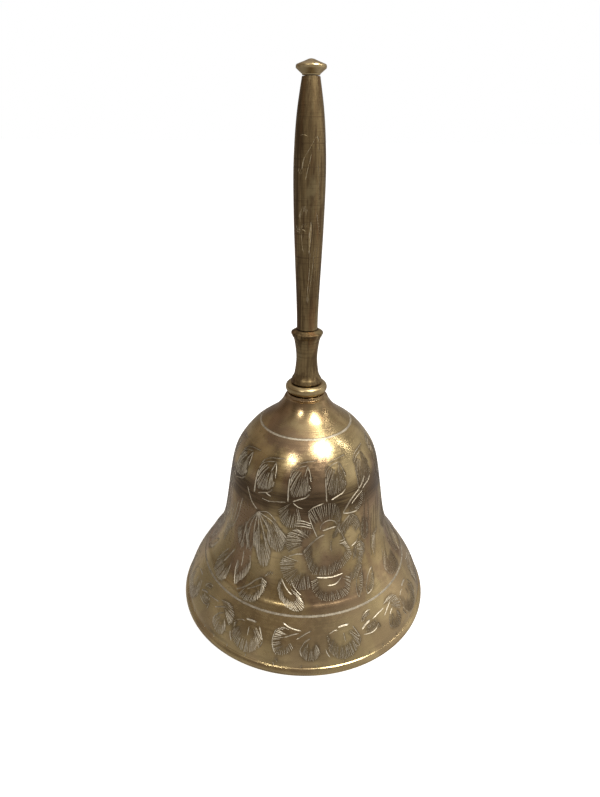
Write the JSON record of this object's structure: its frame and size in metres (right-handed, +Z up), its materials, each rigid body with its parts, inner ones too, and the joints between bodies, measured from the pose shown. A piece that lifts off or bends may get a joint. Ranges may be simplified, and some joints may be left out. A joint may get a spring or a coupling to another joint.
{
  "type": "hand bell",
  "caption": "Flared metal hand bell with floral engraving, a slim turned handle clamped by a tie rod, and a ball clapper hanging from a ring inside.",
  "frame": {"origin": "centre of the rim's underside, on the plane that the bell stands on", "axes": "+Z up along the bell's axis, from the rim to the finial; the clapper's first joint turns about Y, so it swings in the XZ plane"},
  "size_m": [0.11, 0.11, 0.2143],
  "materials": {
    "engraved_brass": "satin turned brass with cut floral engraving, worn and slightly darkened",
    "aged_brass": "darkened brass with fine lengthwise scratches",
    "polished_brass": "rubbed bright brass, dark in its corners",
    "steel": "plain steel wire and nuts, dull"
  },
  "bodies": {
    "bell": {"bell_shell": "engraved_brass", "base_bead": "polished_brass", "neck_ferrule": "aged_brass", "handle_grip": "aged_brass", "finial": "polished_brass", "tie_rod": "steel", "crown_washer": "polished_brass", "crown_nut": "steel"},
    "link": {"clapper_link": "steel"},
    "clapper": {"clapper_stem": "steel", "clapper_ball": "polished_brass", "clapper_nut": "steel"}
  },
  "joints": [
    {"name": "clapper_swing", "type": "hinge", "parent": "bell", "child": "link", "pos_m": [0, 0, 0.074], "axis": [0, 1, 0], "range_deg": [-30, 30]},
    {"name": "clapper_rock", "type": "hinge", "parent": "link", "child": "clapper", "pos_m": [0, 0, 0.0676], "axis": [1, 0, 0], "range_deg": [-8, 8]}
  ]
}
